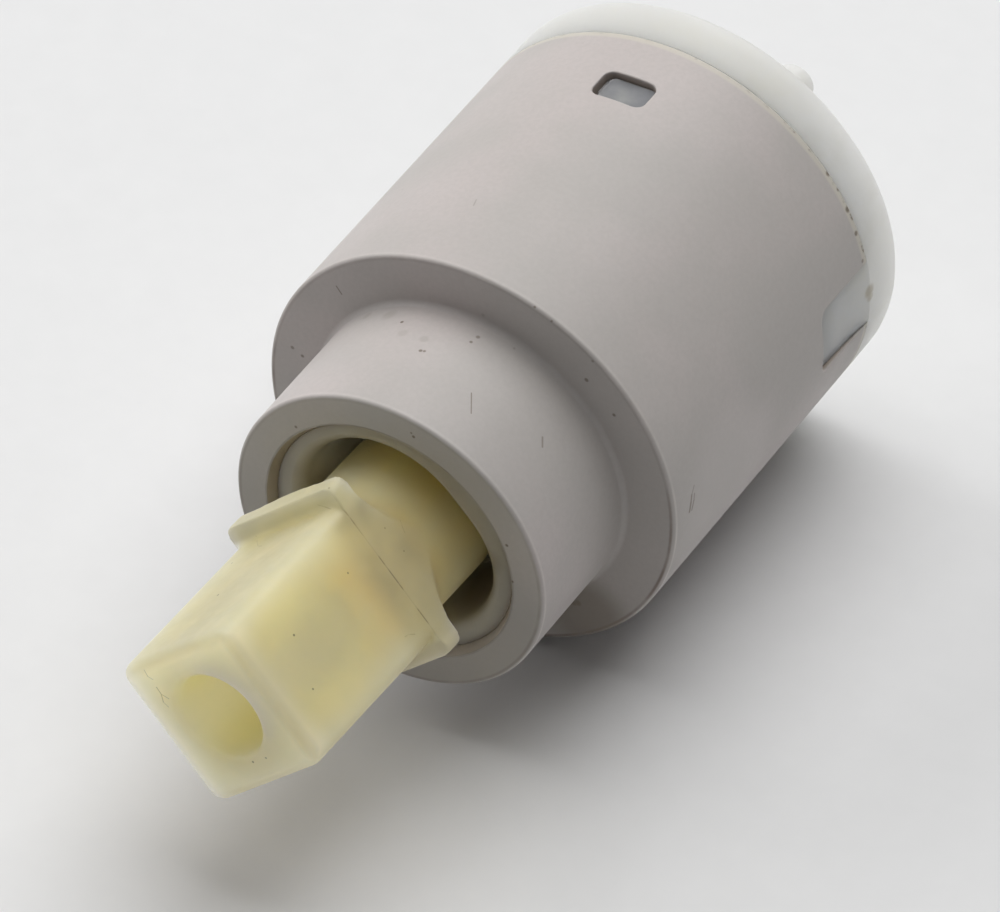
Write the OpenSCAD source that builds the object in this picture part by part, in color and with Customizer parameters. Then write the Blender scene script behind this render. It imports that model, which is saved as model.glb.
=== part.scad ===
// Single-lever faucet cartridge, lying on its side as it was photographed.
// The spindle points to -Y and +Z is up. The origin is on the cartridge axis, at the middle of the
// face of the base that sits on the floor of the faucet body.
// Every piece is drawn upright, with its height measured from that face, and then laid down.

/* [Housing] */
// Outside diameter of the housing and of the rim of the base
body_d = 40; // [39:0.5:50]
// Height of the shoulder, where the clamping nut bears
shoulder_z = 39; // [38.5:0.5:50]
// Wall of the housing
wall = 2.4; // [2:0.1:3]
// Thickness of the shoulder plate
shoulder_t = 2.6; // [2.2:0.1:3.2]
// Height of the neck above the shoulder
neck_h = 13.4; // [12.8:0.2:17]
// Outside diameter of the neck
neck_d = 30.1; // [29:0.5:34]
// Wall of the neck round the spindle guide
neck_wall = 3.5; // [3:0.1:3.8]
// Fillet between the neck and the shoulder
neck_fillet = 1.5; // [0.6:0.1:2]
// Rounding of the outer edges of the housing
edge_r = 0.35; // [0.2:0.05:0.6]
// Depth of the chamfer at the mouth of the neck
mouth_h = 1; // [0.6:0.1:1.4]
// Width of the chamfer at the mouth of the neck
mouth_w = 0.5; // [0.3:0.05:0.8]

/* [Snap windows and keys] */
// Angle of the first key, seen from the spindle side and counted from +X towards +Z
key_angle = 2.5; // [0:0.5:20]
// Width of a key notch in the housing
key_w = 6.8; // [5:0.1:8]
// Height of a key notch above the rim of the base
key_h = 8.2; // [6:0.1:9]
// Depth of the face of a key below the face of the housing, at the rim
key_inset = 0.15; // [0.1:0.05:0.6]
// Draft of the face of a key, which lies that much deeper at its top
key_draft = 0.4; // [0:0.1:0.8]
// Corner radius of the key notches
notch_r = 1.2; // [0.6:0.1:1.8]
// Width of a snap window
window_w = 5.1; // [4:0.1:7]
// Height of a snap window
window_h = 3.4; // [2.6:0.1:4]
// Depth of the middle of a snap window below the face that the fixed disc rests on
window_drop = 0.4; // [0:0.1:1.2]
// Corner radius of the windows
window_r = 0.8; // [0.4:0.1:1]
// How far a snap tab reaches into the wall of the housing
snap_reach = 1.6; // [1:0.1:1.8]

/* [Base] */
// Height of the rim of the base, which shows below the housing
rim_h = 5; // [4.5:0.1:6]
// Rounding of the outer edge of the rim
rim_r = 0.7; // [0.5:0.1:1.8]
// Height of the collar round the fixed disc
base_collar_h = 3; // [2.4:0.1:3.6]
// Wall of the collar round the fixed disc
base_collar_t = 1.8; // [1.4:0.1:2.4]
// Diameter of a locating peg
peg_d = 3.6; // [3:0.1:4.6]
// Length of a locating peg
peg_h = 3; // [2:0.1:4]
// Distance of the axis of a locating peg inside the face of the housing
peg_inset = 3.8; // [3.4:0.1:4.6]
// Angle of a locating peg from the side of the outlet
peg_angle = 103; // [100:0.5:108]

/* [Ports] */
// Diameter of an inlet port in the base
inlet_d = 6.4; // [5.6:0.1:6.4]
// Diameter of the outlet port in the base
outlet_d = 7.8; // [7:0.1:8.4]
// Distance of an inlet port behind the cartridge axis
inlet_x = 6; // [5.6:0.1:6]
// Distance of an inlet port to the side of the cartridge axis
inlet_y = 5.8; // [5.7:0.1:5.8]
// Distance of the outlet port in front of the cartridge axis
outlet_x = 6.3; // [6:0.1:7]
// Cord diameter of a port seal
port_seal_cord = 2; // [1.6:0.1:2]
// How far a port seal stands proud of the seating face
port_seal_out = 0.3; // [0.2:0.05:0.4]

/* [Discs] */
// Depth of the face that the fixed disc rests on, below the shoulder
stack_h = 26.8; // [26:0.1:27.5]
// Thickness of the fixed disc
fixed_disc_t = 4.6; // [4:0.1:4.6]
// Thickness of the moving disc
moving_disc_t = 4; // [3.6:0.1:4]
// Chamfer round the discs
disc_edge = 0.4; // [0.2:0.1:0.6]
// Length of the mixing chamber in the moving disc
chamber_l = 14.4; // [14:0.1:15]
// Width of the mixing chamber in the moving disc
chamber_w = 9.4; // [8:0.1:10]
// Thickness of the gasket under the fixed disc
gasket_t = 1; // [0.8:0.1:1.4]
// Cord diameter of the seal between the moving disc and its carrier
carrier_seal_cord = 1.4; // [1.2:0.1:1.6]

/* [Spindle] */
// Side of the square end of the spindle
square_s = 14.2; // [11:0.1:14.4]
// Length of the square end above the collar
square_l = 18.2; // [14:0.2:30]
// Corner radius of the square end
square_r = 1.3; // [0.5:0.1:2]
// Rounding of the edges at the tip
tip_r = 0.5; // [0.3:0.1:0.8]
// Diameter of the screw hole in the tip
screw_d = 8.2; // [5:0.1:8.6]
// Depth of the screw hole
screw_depth = 14; // [8:0.5:15]
// Height of the top face of the collar above the neck
collar_rise = 7.8; // [7.6:0.1:12]
// Thickness of the collar
collar_t = 2; // [1.6:0.1:3]
// How far the collar stands out on each side that the lever tilts to
collar_out = 1.7; // [1:0.1:2.2]
// How far the collar stands out on the other two sides
collar_step = 0.1; // [0.05:0.05:0.3]
// Fillet between the round part and the collar
shaft_fillet = 3.4; // [2:0.1:4]
// Diameter of the ball at the foot of the spindle
ball_d = 6.4; // [5.6:0.1:6.6]
// Thickness of the flat lug on the pivot pin
lug_w = 9.2; // [8:0.1:9.6]
// Diameter of the pivot pin
pin_d = 3; // [2.5:0.1:3.2]

/* [Motion] */
// Height of the pivot pin above the shoulder
pivot_rise = 2; // [1.8:0.1:2.6]
// Largest tilt of the spindle to either side
tilt_max = 12.5; // [8:0.5:13]
// Tilt of the spindle as it is shown
tilt_shown = -1.5; // [-8:0.5:8]
// Largest turn of the spindle to either side
turn_max = 50; // [40:1:55]
// Turn of the spindle as it is shown
turn_shown = -4; // [-40:1:40]

/* [Clearances] */
// Radial clearance of the guide in the neck
guide_fit = 0.08; // [0.05:0.01:0.1]
// Radial clearance of the spindle on the pivot pin
pin_fit = 0.05; // [0.02:0.01:0.08]
// Radial clearance of the ball in its pocket
ball_fit = 0.1; // [0.06:0.01:0.15]
// Clearance of parts that are only assembled
part_fit = 0.1; // [0.08:0.01:0.2]
// Clearance round the spindle where it tilts
tilt_fit = 0.2; // [0.1:0.05:0.3]
// Radial clearance of the skirt of the guide in the housing
skirt_fit = 0.25; // [0.15:0.05:0.4]
// Clearance of a snap tab in its window
snap_fit = 0.25; // [0.15:0.05:0.4]
// Clearance of a key in its notch
key_fit = 0.1; // [0.1:0.05:0.25]

/* [Hidden] */
$fn = 96;
eps = 0.01;

// The inlets lie on the far side of this angle, and the spindle tilts in its plane when it is centred
middle_angle = key_angle - 45;
shown_angle = middle_angle + turn_shown;

body_r = body_d / 2;
neck_r = neck_d / 2;
cavity_r = body_r - wall;
neck_bore_r = neck_r - neck_wall;
neck_top = shoulder_z + neck_h;
cavity_top = shoulder_z - shoulder_t;

// Heights of the stack of discs, which hangs at a set depth below the shoulder
disc_seat_z = shoulder_z - stack_h;
fixed_top = disc_seat_z + fixed_disc_t;
moving_top = fixed_top + moving_disc_t;
carrier_plate_t = 3.4;
carrier_plate_top = moving_top + carrier_plate_t;
pocket_floor_t = 1;
ball_bottom_gap = 0.2;
ball_z = moving_top + pocket_floor_t + ball_bottom_gap + ball_d / 2;

// Lever: the spindle turns on the pivot pin and its ball pushes the carrier
pivot_z = shoulder_z + pivot_rise;
arm_l = pivot_z - ball_z;
ball_travel = arm_l * sin(tilt_max);
ball_shift = -arm_l * sin(tilt_shown);
collar_z = neck_top + collar_rise;
tip_z = collar_z + square_l;

// Guide of the spindle
slide_t = 0.8;
guide_r = neck_bore_r - guide_fit;
guide_inset = 0.9;
guide_top = neck_top - guide_inset;
guide_wall = 1.57;
guide_edge = 0.5;
guide_lip = 0.7;
flange_top = cavity_top - slide_t - part_fit;
flange_t = 4.1;
skirt_top = flange_top - flange_t;
skirt_r = cavity_r - skirt_fit;
skirt_gap = 0.2;
skirt_bottom = carrier_plate_top + skirt_gap;
groove_w = 2;
groove_depth = 1.72;
groove_z = cavity_top + 0.5;
stop_angle = 16;
stop_play = 1;
stop_depth = 1.8;
stop_gap = 1;

// Mouth of the guide: its half length fits the round part of the spindle at full tilt
funnel_rise = 4;
funnel_floor = pivot_z + funnel_rise;
funnel_shift = 0.9;
shaft_r = (guide_r - guide_wall - (guide_top - pivot_z) * tan(tilt_max) - tilt_fit) * cos(tilt_max);

// Lug, arm and foot of the spindle
lug_r = shaft_r - 0.6;
lug_neck = (lug_r - funnel_rise * tan(tilt_max)) * cos(tilt_max);
shaft_bottom = pivot_z + (funnel_rise + tilt_fit + shaft_r * sin(tilt_max)) / cos(tilt_max);
arm_r = 2.6;
arm_root_r = lug_w / 2 - part_fit;
arm_root_l = 5;

// Disc carrier
carrier_play = 1.3;
carrier_r = cavity_r - ball_travel - carrier_play;
carrier_lip = 0.3;
moving_disc_r = carrier_r - carrier_lip;
boss_w = 18;
boss_l = 16;
boss_gap = 1.9;
boss_top = skirt_top - boss_gap;
carrier_seal_r = chamber_l / 2 + 0.7 + carrier_seal_cord / 2;
drive_w = 4.8;
drive_l = 1.8;
drive_h = 2.2;

// Base
spigot_r = cavity_r - part_fit;
base_top = disc_seat_z + base_collar_h;
disc_pocket_r = spigot_r - base_collar_t;
fixed_disc_r = disc_pocket_r - part_fit;
gasket_r = 11.6;
window_z = disc_seat_z - window_drop;
port_mix_z = disc_seat_z - 5.2;
seal_seat_h = port_seal_cord - port_seal_out;
peg_r = body_r - peg_inset;
core_r = body_r - 4.8;
core_w = 3;
core_floor = 5.8;
joint_overlap = 0.6;

// Laid down: the height of a piece becomes -Y and its own y becomes +Z
module lay() {
    rotate([90, 0, 0]) children();
}

// A rectangle with round corners, centred
module round_rect(w, h, r) {
    square([w - 2 * r, h], center = true);
    square([w, h - 2 * r], center = true);
    for (x = [-1, 1], y = [-1, 1])
        translate([x * (w / 2 - r), y * (h / 2 - r)]) circle(r);
}

// A block with round corners that stands on a height and reaches outwards along a direction
module radial_block(angle, r_in, r_out, w, h, z, corner) {
    rotate([0, 0, angle])
        translate([r_in, 0, z])
            rotate([90, 0, 90])
                linear_extrude(r_out - r_in) round_rect(w, h, corner);
}

// A curved slot about the axis with bowed ends, about from one angle to another
module kidney(r_mid, w, from, to, z, h) {
    half = (to - from) / 2;
    translate([0, 0, z])
        rotate([0, 0, from + half])
            linear_extrude(h)
                intersection() {
                    difference() {
                        circle(r_mid + w / 2);
                        circle(r_mid - w / 2);
                    }
                    translate([r_mid * cos(half), 0]) circle(r_mid * sin(half) + w / 2);
                }
}

// An opening with two bowed sides, where a circle about the axis meets one beside it
module lens(r, w, z, h) {
    translate([0, 0, z])
        linear_extrude(h)
            intersection() {
                circle(r);
                translate([r, 0]) circle(w);
            }
}

// A straight slot with round ends along the tilt direction
module slot(l, w, z, h) {
    translate([-(l - w) / 2, -w / 2, z]) cube([l - w, w, h]);
    for (x = [-1, 1])
        translate([x * (l - w) / 2, 0, z]) cylinder(d = w, h = h);
}

// A round plate with chamfered edges
module plate(r, z, t, edge) {
    translate([0, 0, z])
        rotate_extrude()
            polygon([[0, 0], [r - edge, 0], [r, edge], [r, t - edge], [r - edge, t], [0, t]]);
}

module o_ring(r_mid, cord, z) {
    translate([0, 0, z]) rotate_extrude() translate([r_mid, 0]) circle(d = cord, $fn = 32);
}

// Section of the housing on one side of the axis
module housing_section() {
    difference() {
        union() {
            translate([cavity_r, rim_h]) square([wall, shoulder_z - edge_r - rim_h]);
            translate([neck_bore_r, cavity_top]) square([body_r - edge_r - neck_bore_r, shoulder_t]);
            translate([body_r - edge_r, shoulder_z - edge_r]) circle(edge_r);
            translate([neck_bore_r, cavity_top]) square([neck_wall, neck_top - edge_r - cavity_top]);
            translate([neck_bore_r, neck_top - 2 * edge_r]) square([neck_wall - edge_r, 2 * edge_r]);
            translate([neck_r - edge_r, neck_top - edge_r]) circle(edge_r);
            translate([neck_r - eps, shoulder_z - eps]) square(neck_fillet + eps);
        }
        translate([neck_r + neck_fillet, shoulder_z + neck_fillet]) circle(neck_fillet);
        polygon([[neck_bore_r - eps, neck_top - mouth_h], [neck_bore_r - eps, neck_top + eps],
                 [neck_bore_r + mouth_w, neck_top + eps], [neck_bore_r, neck_top - mouth_h]]);
    }
}

// Openings in the wall of the housing: two snap windows, and two key notches that are open below
module housing_openings() {
    for (a = [90, 270])
        radial_block(key_angle + a, cavity_r - 1, body_r + 1, window_w, window_h, window_z, window_r);
    for (a = [0, 180])
        radial_block(key_angle + a, cavity_r - 1, body_r + 1, key_w, 2 * key_h, rim_h, notch_r);
}

// Stop that limits the turn of the guide
module housing_stop() {
    rotate([0, 0, middle_angle + 180 - stop_angle / 2])
        translate([0, 0, skirt_top])
            rotate_extrude(angle = stop_angle)
                translate([cavity_r - stop_depth, 0])
                    square([stop_depth + joint_overlap, cavity_top - skirt_top + joint_overlap]);
}

module housing() {
    color("#bcb8b5") lay() {
        difference() {
            rotate_extrude() housing_section();
            housing_openings();
        }
        housing_stop();
    }
}

// Section of the base, without its ports
module base_section() {
    square([body_r - rim_r, rim_h]);
    translate([0, rim_r]) square([body_r, rim_h - rim_r]);
    translate([body_r - rim_r, rim_r]) circle(rim_r);
    square([spigot_r, disc_seat_z]);
    translate([disc_pocket_r, rim_h]) square([base_collar_t, base_top - rim_h]);
}

// Tab with a flat catch below and a ramp above, over which the housing is pushed
module snap_tab(angle) {
    w = window_w - 2 * snap_fit;
    ramp_h = 0.9;
    catch_z = window_z - window_h / 2 + snap_fit;
    ramp_top = window_z + window_h / 2 - snap_fit;
    rotate([0, 0, angle])
        translate([spigot_r, w / 2, 0])
            rotate([90, 0, 0])
                linear_extrude(w)
                    polygon([[-joint_overlap, catch_z], [snap_reach, catch_z],
                             [snap_reach, ramp_top - ramp_h], [part_fit, ramp_top],
                             [-joint_overlap, ramp_top]]);
}

// Key that fills a notch of the housing; its corners leave a small gap in those of the notch
module base_key(angle) {
    key_r = body_r - key_inset;
    corner_gap = 0.4;
    intersection() {
        rotate([0, 0, angle])
            translate([spigot_r - joint_overlap, 0, rim_h - eps])
                rotate([90, 0, 90])
                    linear_extrude(body_d)
                        intersection() {
                            round_rect(key_w - 2 * key_fit, 2 * (key_h - key_fit), notch_r + corner_gap);
                            translate([-key_w, 0]) square([2 * key_w, 2 * key_h]);
                        }
        translate([0, 0, rim_h - eps]) cylinder(r1 = key_r, r2 = key_r - key_draft, h = key_h);
    }
}

// Ports of the fixed disc, the gasket and the top of the base
module disc_ports(z, h) {
    kidney(6.8, 3.6, 129, 153, z, h);
    kidney(6.8, 3.6, -153, -129, z, h);
    lens(6.4, 4.8, z, h);
}

// A round port from below with the seat of its seal
module base_port(x, y, d) {
    translate([x, y, -eps]) {
        cylinder(d = d, h = port_mix_z + eps);
        cylinder(r = d / 2 + port_seal_cord + part_fit, h = seal_seat_h + eps);
    }
}

// The three water ways through the base and the pocket of the gasket
module base_ports() {
    mix_overlap = 2.5;
    for (side = [-1, 1]) base_port(-inlet_x, side * inlet_y, inlet_d);
    base_port(outlet_x, 0, outlet_d);
    disc_ports(port_mix_z - mix_overlap, stack_h);
    translate([0, 0, disc_seat_z - gasket_t]) cylinder(r = gasket_r + part_fit, h = gasket_t + eps);
}

// Pockets that keep the walls of the moulding even, open below
module base_cores() {
    for (a = [[-34, 34], [56, 90], [-90, -56], [157, 203]])
        kidney(core_r, core_w, a[0], a[1], -eps, disc_seat_z - core_floor + eps);
}

// Pegs that set which way round the cartridge sits
module base_pegs() {
    peg_edge = 0.4;
    for (side = [-1, 1])
        rotate([0, 0, side * peg_angle])
            translate([peg_r, 0, -peg_h]) {
                cylinder(d1 = peg_d - 2 * peg_edge, d2 = peg_d, h = peg_edge);
                translate([0, 0, peg_edge]) cylinder(d = peg_d, h = peg_h - peg_edge + eps);
            }
}

module base() {
    color("#d9dad5") lay() {
        difference() {
            union() {
                rotate_extrude() base_section();
                for (a = [0, 180]) base_key(key_angle + a);
                for (a = [90, 270]) snap_tab(key_angle + a);
            }
            rotate([0, 0, middle_angle]) {
                base_ports();
                base_cores();
            }
        }
        rotate([0, 0, middle_angle]) base_pegs();
    }
}

// A long block along y whose two upper edges are rounded, to shape the tip
module tip_block() {
    h = square_l + joint_overlap;
    translate([0, square_s, tip_z - h])
        rotate([90, 0, 0])
            linear_extrude(2 * square_s) {
                translate([-square_s / 2, 0]) square([square_s, h - tip_r]);
                translate([-square_s / 2 + tip_r, 0]) square([square_s - 2 * tip_r, h]);
                for (x = [-1, 1])
                    translate([x * (square_s / 2 - tip_r), h - tip_r]) circle(tip_r);
            }
}

// Square end of the spindle with rounded edges at its tip
module spindle_square() {
    intersection() {
        translate([0, 0, collar_z - joint_overlap])
            linear_extrude(square_l + joint_overlap) round_rect(square_s, square_s, square_r);
        tip_block();
        rotate([0, 0, 90]) tip_block();
    }
}

// Collar with a round fillet below it
module spindle_collar() {
    collar_l = square_s + 2 * collar_out;
    collar_w = square_s + 2 * collar_step;
    collar_corner = 0.7;
    collar_bottom = collar_z - collar_t;
    fillet_bottom = collar_bottom - shaft_fillet;
    fillet_x = shaft_r + shaft_fillet - 0.03;
    intersection() {
        translate([0, 0, fillet_bottom])
            linear_extrude(collar_t + shaft_fillet) round_rect(collar_l, collar_w, collar_corner);
        rotate_extrude()
            difference() {
                translate([0, fillet_bottom]) square([collar_l, shaft_fillet + collar_t]);
                translate([fillet_x, fillet_bottom]) circle(shaft_fillet);
                translate([fillet_x, fillet_bottom - 1]) square([collar_l, shaft_fillet + 1]);
            }
    }
}

// Round part, lug on the pivot pin, arm and ball
module spindle_foot() {
    translate([0, 0, shaft_bottom]) cylinder(r = shaft_r, h = collar_z - collar_t / 2 - shaft_bottom);
    translate([0, lug_w / 2, pivot_z]) rotate([90, 0, 0]) cylinder(r = lug_r, h = lug_w);
    translate([-lug_neck, -lug_w / 2, pivot_z])
        cube([2 * lug_neck, lug_w, shaft_bottom - pivot_z + joint_overlap]);
    translate([0, 0, ball_z]) {
        sphere(d = ball_d);
        cylinder(r = arm_r, h = arm_l);
    }
    translate([0, 0, pivot_z - lug_r + joint_overlap - arm_root_l])
        cylinder(r1 = arm_r, r2 = arm_root_r, h = arm_root_l);
}

// The spindle turns and tilts to the position that is shown
module spindle_place() {
    rotate([0, 0, shown_angle])
        translate([0, 0, pivot_z])
            rotate([0, tilt_shown, 0])
                translate([0, 0, -pivot_z])
                    children();
}

// Blind hole for the screw of the handle, with a drill point
module screw_hole() {
    drill_point = 1.8;
    translate([0, 0, tip_z - screw_depth]) cylinder(d = screw_d, h = screw_depth + eps);
    translate([0, 0, tip_z - screw_depth - drill_point]) cylinder(d1 = 1, d2 = screw_d, h = drill_point);
}

module spindle() {
    color("#d3cba3") lay() spindle_place() difference() {
        union() {
            spindle_square();
            spindle_collar();
            spindle_foot();
        }
        screw_hole();
        translate([0, lug_w, pivot_z]) rotate([90, 0, 0]) cylinder(d = pin_d + 2 * pin_fit, h = 2 * lug_w);
    }
}

// Half length of the mouth of the guide at a height above the pivot pin, less its shift
function funnel_r(rise) = shaft_r / cos(tilt_max) + rise * tan(tilt_max) + tilt_fit - funnel_shift;

// Mouth of the guide, a flaring opening with a chamfered lip that is longer in the tilt direction
module guide_funnel() {
    lip_z = guide_top - guide_lip;
    lip_r = funnel_r(lip_z - pivot_z);
    for (x = [-funnel_shift : funnel_shift / 2 : funnel_shift])
        translate([x, 0, 0]) {
            translate([0, 0, funnel_floor])
                cylinder(r1 = funnel_r(funnel_rise), r2 = lip_r, h = lip_z - funnel_floor);
            translate([0, 0, lip_z])
                cylinder(r1 = lip_r, r2 = lip_r + guide_lip + eps, h = guide_lip + eps);
        }
}

// Slot of the lug, way of the disc carrier and relief for the stop of the housing
module guide_inside() {
    slot_l = 2 * (lug_r + tilt_fit);
    slot_w = lug_w + 2 * part_fit;
    way_w = boss_w + 2 * part_fit;
    relief = stop_angle / 2 + turn_max + stop_play;
    translate([-slot_l / 2, -slot_w / 2, skirt_bottom - 1])
        cube([slot_l, slot_w, funnel_floor - skirt_bottom + 1 + eps]);
    translate([-body_r, -way_w / 2, skirt_bottom - 1])
        cube([body_d, way_w, skirt_top - skirt_bottom + 1]);
    rotate([0, 0, 180 - relief])
        translate([0, 0, skirt_top - stop_gap])
            rotate_extrude(angle = 2 * relief)
                translate([cavity_r - stop_depth - part_fit, 0])
                    square([stop_depth + 1, flange_t + stop_gap + 1]);
}

module spindle_guide() {
    color("#b0acab") lay() rotate([0, 0, shown_angle]) difference() {
        union() {
            translate([0, 0, skirt_top]) cylinder(r = guide_r, h = guide_top - skirt_top - guide_edge);
            translate([0, 0, guide_top - guide_edge])
                cylinder(r1 = guide_r, r2 = guide_r - guide_edge, h = guide_edge);
            translate([0, 0, skirt_bottom]) cylinder(r = skirt_r, h = flange_top - skirt_bottom);
        }
        guide_funnel();
        guide_inside();
        // Groove of the friction ring
        translate([0, 0, groove_z])
            rotate_extrude()
                translate([guide_r - groove_depth, 0]) square([groove_depth + 1, groove_w]);
        translate([0, guide_r + 1, pivot_z]) rotate([90, 0, 0]) cylinder(d = pin_d, h = 2 * guide_r + 2);
    }
}

module pivot_pin() {
    pin_end_gap = 0.4;
    pin_edge = 0.3;
    pin_l = 2 * (guide_r - pin_end_gap);
    color("#c4c6c8") lay() rotate([0, 0, shown_angle])
        translate([0, pin_l / 2, pivot_z])
            rotate([90, 0, 0]) {
                cylinder(d1 = pin_d - 2 * pin_edge, d2 = pin_d, h = pin_edge);
                translate([0, 0, pin_edge]) cylinder(d = pin_d, h = pin_l - 2 * pin_edge);
                translate([0, 0, pin_l - pin_edge])
                    cylinder(d1 = pin_d, d2 = pin_d - 2 * pin_edge, h = pin_edge);
            }
}

module slide_ring() {
    ring_gap = 0.4;
    color("#f0efe8") lay() translate([0, 0, cavity_top - slide_t]) difference() {
        cylinder(r = cavity_r - stop_depth - part_fit, h = slide_t);
        translate([0, 0, -1]) cylinder(r = neck_bore_r + ring_gap, h = slide_t + 2);
    }
}

module friction_ring() {
    cord = groove_depth;
    color("#2b2b2b") lay() rotate([0, 0, shown_angle])
        o_ring(guide_r - cord / 2, cord, groove_z + groove_w / 2);
}

// The carrier, its seal and the moving disc slide together in the tilt direction
module carrier_place() {
    rotate([0, 0, shown_angle]) translate([ball_shift, 0, 0]) children();
}

// Boss that the ball of the spindle reaches into, and the flaring pocket in it
module carrier_boss() {
    translate([-boss_l / 2, -boss_w / 2, moving_top + 1]) cube([boss_l, boss_w, boss_top - moving_top - 1]);
}

module carrier_pocket() {
    pocket_r = ball_d / 2 + ball_fit;
    flare_z = ball_z + 1.6;
    flare_r = arm_r / cos(tilt_max) + (boss_top - ball_z) * tan(tilt_max) + 1;
    translate([0, 0, moving_top + pocket_floor_t]) cylinder(r = pocket_r, h = boss_top);
    translate([0, 0, flare_z]) cylinder(r1 = pocket_r, r2 = flare_r, h = boss_top - flare_z + eps);
}

module disc_carrier() {
    color("#e6e4dc") lay() carrier_place() {
        difference() {
            union() {
                plate(carrier_r, moving_top, carrier_plate_t, disc_edge);
                carrier_boss();
            }
            carrier_pocket();
            // Groove of the carrier seal
            translate([0, 0, moving_top - eps])
                rotate_extrude()
                    translate([carrier_seal_r - carrier_seal_cord / 2, 0])
                        square([carrier_seal_cord, carrier_seal_cord + eps]);
        }
        // Lugs that drive the moving disc
        for (side = [-1, 1])
            translate([0, side * (moving_disc_r - drive_l / 2), moving_top - drive_h / 2 + joint_overlap / 2])
                cube([drive_w, drive_l, drive_h + joint_overlap], center = true);
    }
}

module carrier_seal() {
    color("#262626") lay() carrier_place()
        o_ring(carrier_seal_r, carrier_seal_cord, moving_top + carrier_seal_cord / 2);
}

module moving_disc() {
    notch_w = drive_w + 2 * part_fit;
    notch_l = drive_l + part_fit;
    color("#e9e6de") lay() carrier_place() difference() {
        plate(moving_disc_r, fixed_top, moving_disc_t, disc_edge);
        slot(chamber_l, chamber_w, fixed_top - 1, moving_disc_t + 2);
        for (side = [0, 180])
            rotate([0, 0, side])
                translate([-notch_w / 2, moving_disc_r - notch_l, moving_top - drive_h - part_fit])
                    cube([notch_w, notch_l + 1, drive_h + 1]);
    }
}

module fixed_disc() {
    color("#dcd9d0") lay() rotate([0, 0, middle_angle]) difference() {
        plate(fixed_disc_r, disc_seat_z, fixed_disc_t, disc_edge);
        disc_ports(disc_seat_z - 1, fixed_disc_t + 2);
    }
}

module disc_gasket() {
    color("#232323") lay() rotate([0, 0, middle_angle]) difference() {
        translate([0, 0, disc_seat_z - gasket_t]) cylinder(r = gasket_r, h = gasket_t);
        disc_ports(disc_seat_z - gasket_t - 1, gasket_t + 2);
    }
}

// Port seals stand a little proud of the seating face
module port_seal(x, y, port_d) {
    color("#1f1f1f") lay() rotate([0, 0, middle_angle]) translate([x, y, 0])
        o_ring((port_d + port_seal_cord + part_fit) / 2, port_seal_cord,
               port_seal_cord / 2 - port_seal_out);
}

module hot_inlet_seal() {
    port_seal(-inlet_x, inlet_y, inlet_d);
}

module cold_inlet_seal() {
    port_seal(-inlet_x, -inlet_y, inlet_d);
}

module outlet_seal() {
    port_seal(outlet_x, 0, outlet_d);
}

housing();
base();
spindle();
spindle_guide();
pivot_pin();
slide_ring();
friction_ring();
disc_carrier();
carrier_seal();
moving_disc();
fixed_disc();
disc_gasket();
hot_inlet_seal();
cold_inlet_seal();
outlet_seal();
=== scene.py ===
# Faucet cartridge lying on a pale table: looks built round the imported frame.
# Heights are counted in millimetres from the seat of the base, along -Y, as in the part.
import math

import bmesh
import bpy
from mathutils import Matrix, Vector


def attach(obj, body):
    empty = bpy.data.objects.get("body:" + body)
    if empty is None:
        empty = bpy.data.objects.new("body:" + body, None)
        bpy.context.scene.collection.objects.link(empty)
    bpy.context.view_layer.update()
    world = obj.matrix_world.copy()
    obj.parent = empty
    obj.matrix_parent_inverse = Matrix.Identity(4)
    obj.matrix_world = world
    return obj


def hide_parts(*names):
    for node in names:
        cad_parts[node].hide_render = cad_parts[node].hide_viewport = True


mm = 0.001
fineSegments = 192  # facets round the cylinders that show
near = 0.01  # a point this close to a line or face counts as on it, in millimetres
spare = 1.0  # how far a cutter, or a piece to be joined, goes past its mark, in millimetres
straight = 0.99  # how truly a face looks, or an edge runs, in a direction, as a cosine
through = 50.0  # length of a cutter that goes right through, in millimetres

print("stage: load the frame")
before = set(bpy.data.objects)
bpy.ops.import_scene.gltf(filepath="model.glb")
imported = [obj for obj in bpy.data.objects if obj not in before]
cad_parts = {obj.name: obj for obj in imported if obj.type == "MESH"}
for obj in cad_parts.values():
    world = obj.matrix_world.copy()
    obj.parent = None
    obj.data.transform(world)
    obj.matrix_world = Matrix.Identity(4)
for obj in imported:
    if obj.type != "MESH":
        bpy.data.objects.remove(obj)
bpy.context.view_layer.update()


# Handling of pieces


def deselectAll():
    bpy.ops.object.select_all(action="DESELECT")


def makeActive(piece):
    deselectAll()
    piece.select_set(True)
    bpy.context.view_layer.objects.active = piece


def finishMove(piece):
    makeActive(piece)
    bpy.ops.object.transform_apply(location=True, rotation=True, scale=True)


def applyModifier(piece, kind, **settings):
    makeActive(piece)
    modifier = piece.modifiers.new(kind.lower(), kind)
    for name, value in settings.items():
        setattr(modifier, name, value)
    bpy.ops.object.modifier_apply(modifier=modifier.name)


def cut(piece, cutter, operation="DIFFERENCE"):
    applyModifier(piece, "BOOLEAN", object=cutter, operation=operation, solver="EXACT")
    bpy.data.objects.remove(cutter)


def joinPieces(pieces):
    deselectAll()
    for piece in pieces:
        piece.select_set(True)
    bpy.context.view_layer.objects.active = pieces[0]
    bpy.ops.object.join()
    return pieces[0]


# Picking in edit mode


def startEdit(piece, kind):
    makeActive(piece)
    bpy.ops.object.mode_set(mode="EDIT")
    bpy.ops.mesh.select_mode(type=kind)
    bpy.ops.mesh.select_all(action="DESELECT")
    return bmesh.from_edit_mesh(piece.data)


def pick(piece, elements, test):
    for element in elements:
        element.select_set(test(element))
    bmesh.update_edit_mesh(piece.data)


def endEdit():
    bpy.ops.object.mode_set(mode="OBJECT")


def radiusOf(point):
    return math.hypot(point.x, point.z) / mm


def heightOf(point):
    return -point.y / mm


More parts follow.
